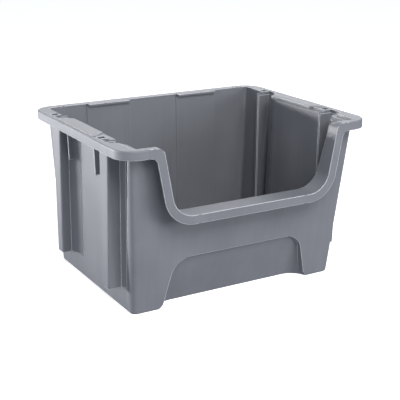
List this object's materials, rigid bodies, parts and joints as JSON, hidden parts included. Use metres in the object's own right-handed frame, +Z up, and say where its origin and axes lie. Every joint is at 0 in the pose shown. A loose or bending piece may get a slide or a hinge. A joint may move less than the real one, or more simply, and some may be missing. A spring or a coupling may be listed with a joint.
{
  "type": "open-front storage bin",
  "caption": "Open-front stacking storage container with a rolled rim, a lowered front mouth, hollow side posts and an arched foot recess.",
  "frame": {"origin": "middle of the resting plane, under the centre of the rim's outline", "axes": "+X to the right as seen from the open front, -Y towards the open front, +Z up"},
  "size_m": [0.513, 0.412, 0.3175],
  "materials": {
    "polypropylene": "satin moulded mid grey"
  },
  "bodies": {
    "root": {"floor": "polypropylene", "back_wall": "polypropylene", "front_wall": "polypropylene", "left_side_wall": "polypropylene", "right_side_wall": "polypropylene", "left_front_post": "polypropylene", "left_rear_post": "polypropylene", "right_front_post": "polypropylene", "right_rear_post": "polypropylene", "left_front_grip_rib": "polypropylene", "left_rear_grip_rib": "polypropylene", "right_front_grip_rib": "polypropylene", "right_rear_grip_rib": "polypropylene", "back_rim": "polypropylene", "left_rim": "polypropylene", "right_rim": "polypropylene", "front_left_rim_corner": "polypropylene", "front_right_rim_corner": "polypropylene", "sill_lip": "polypropylene", "left_mouth_lip": "polypropylene", "right_mouth_lip": "polypropylene", "left_grip_plate": "polypropylene", "right_grip_plate": "polypropylene"}
  },
  "joints": []
}
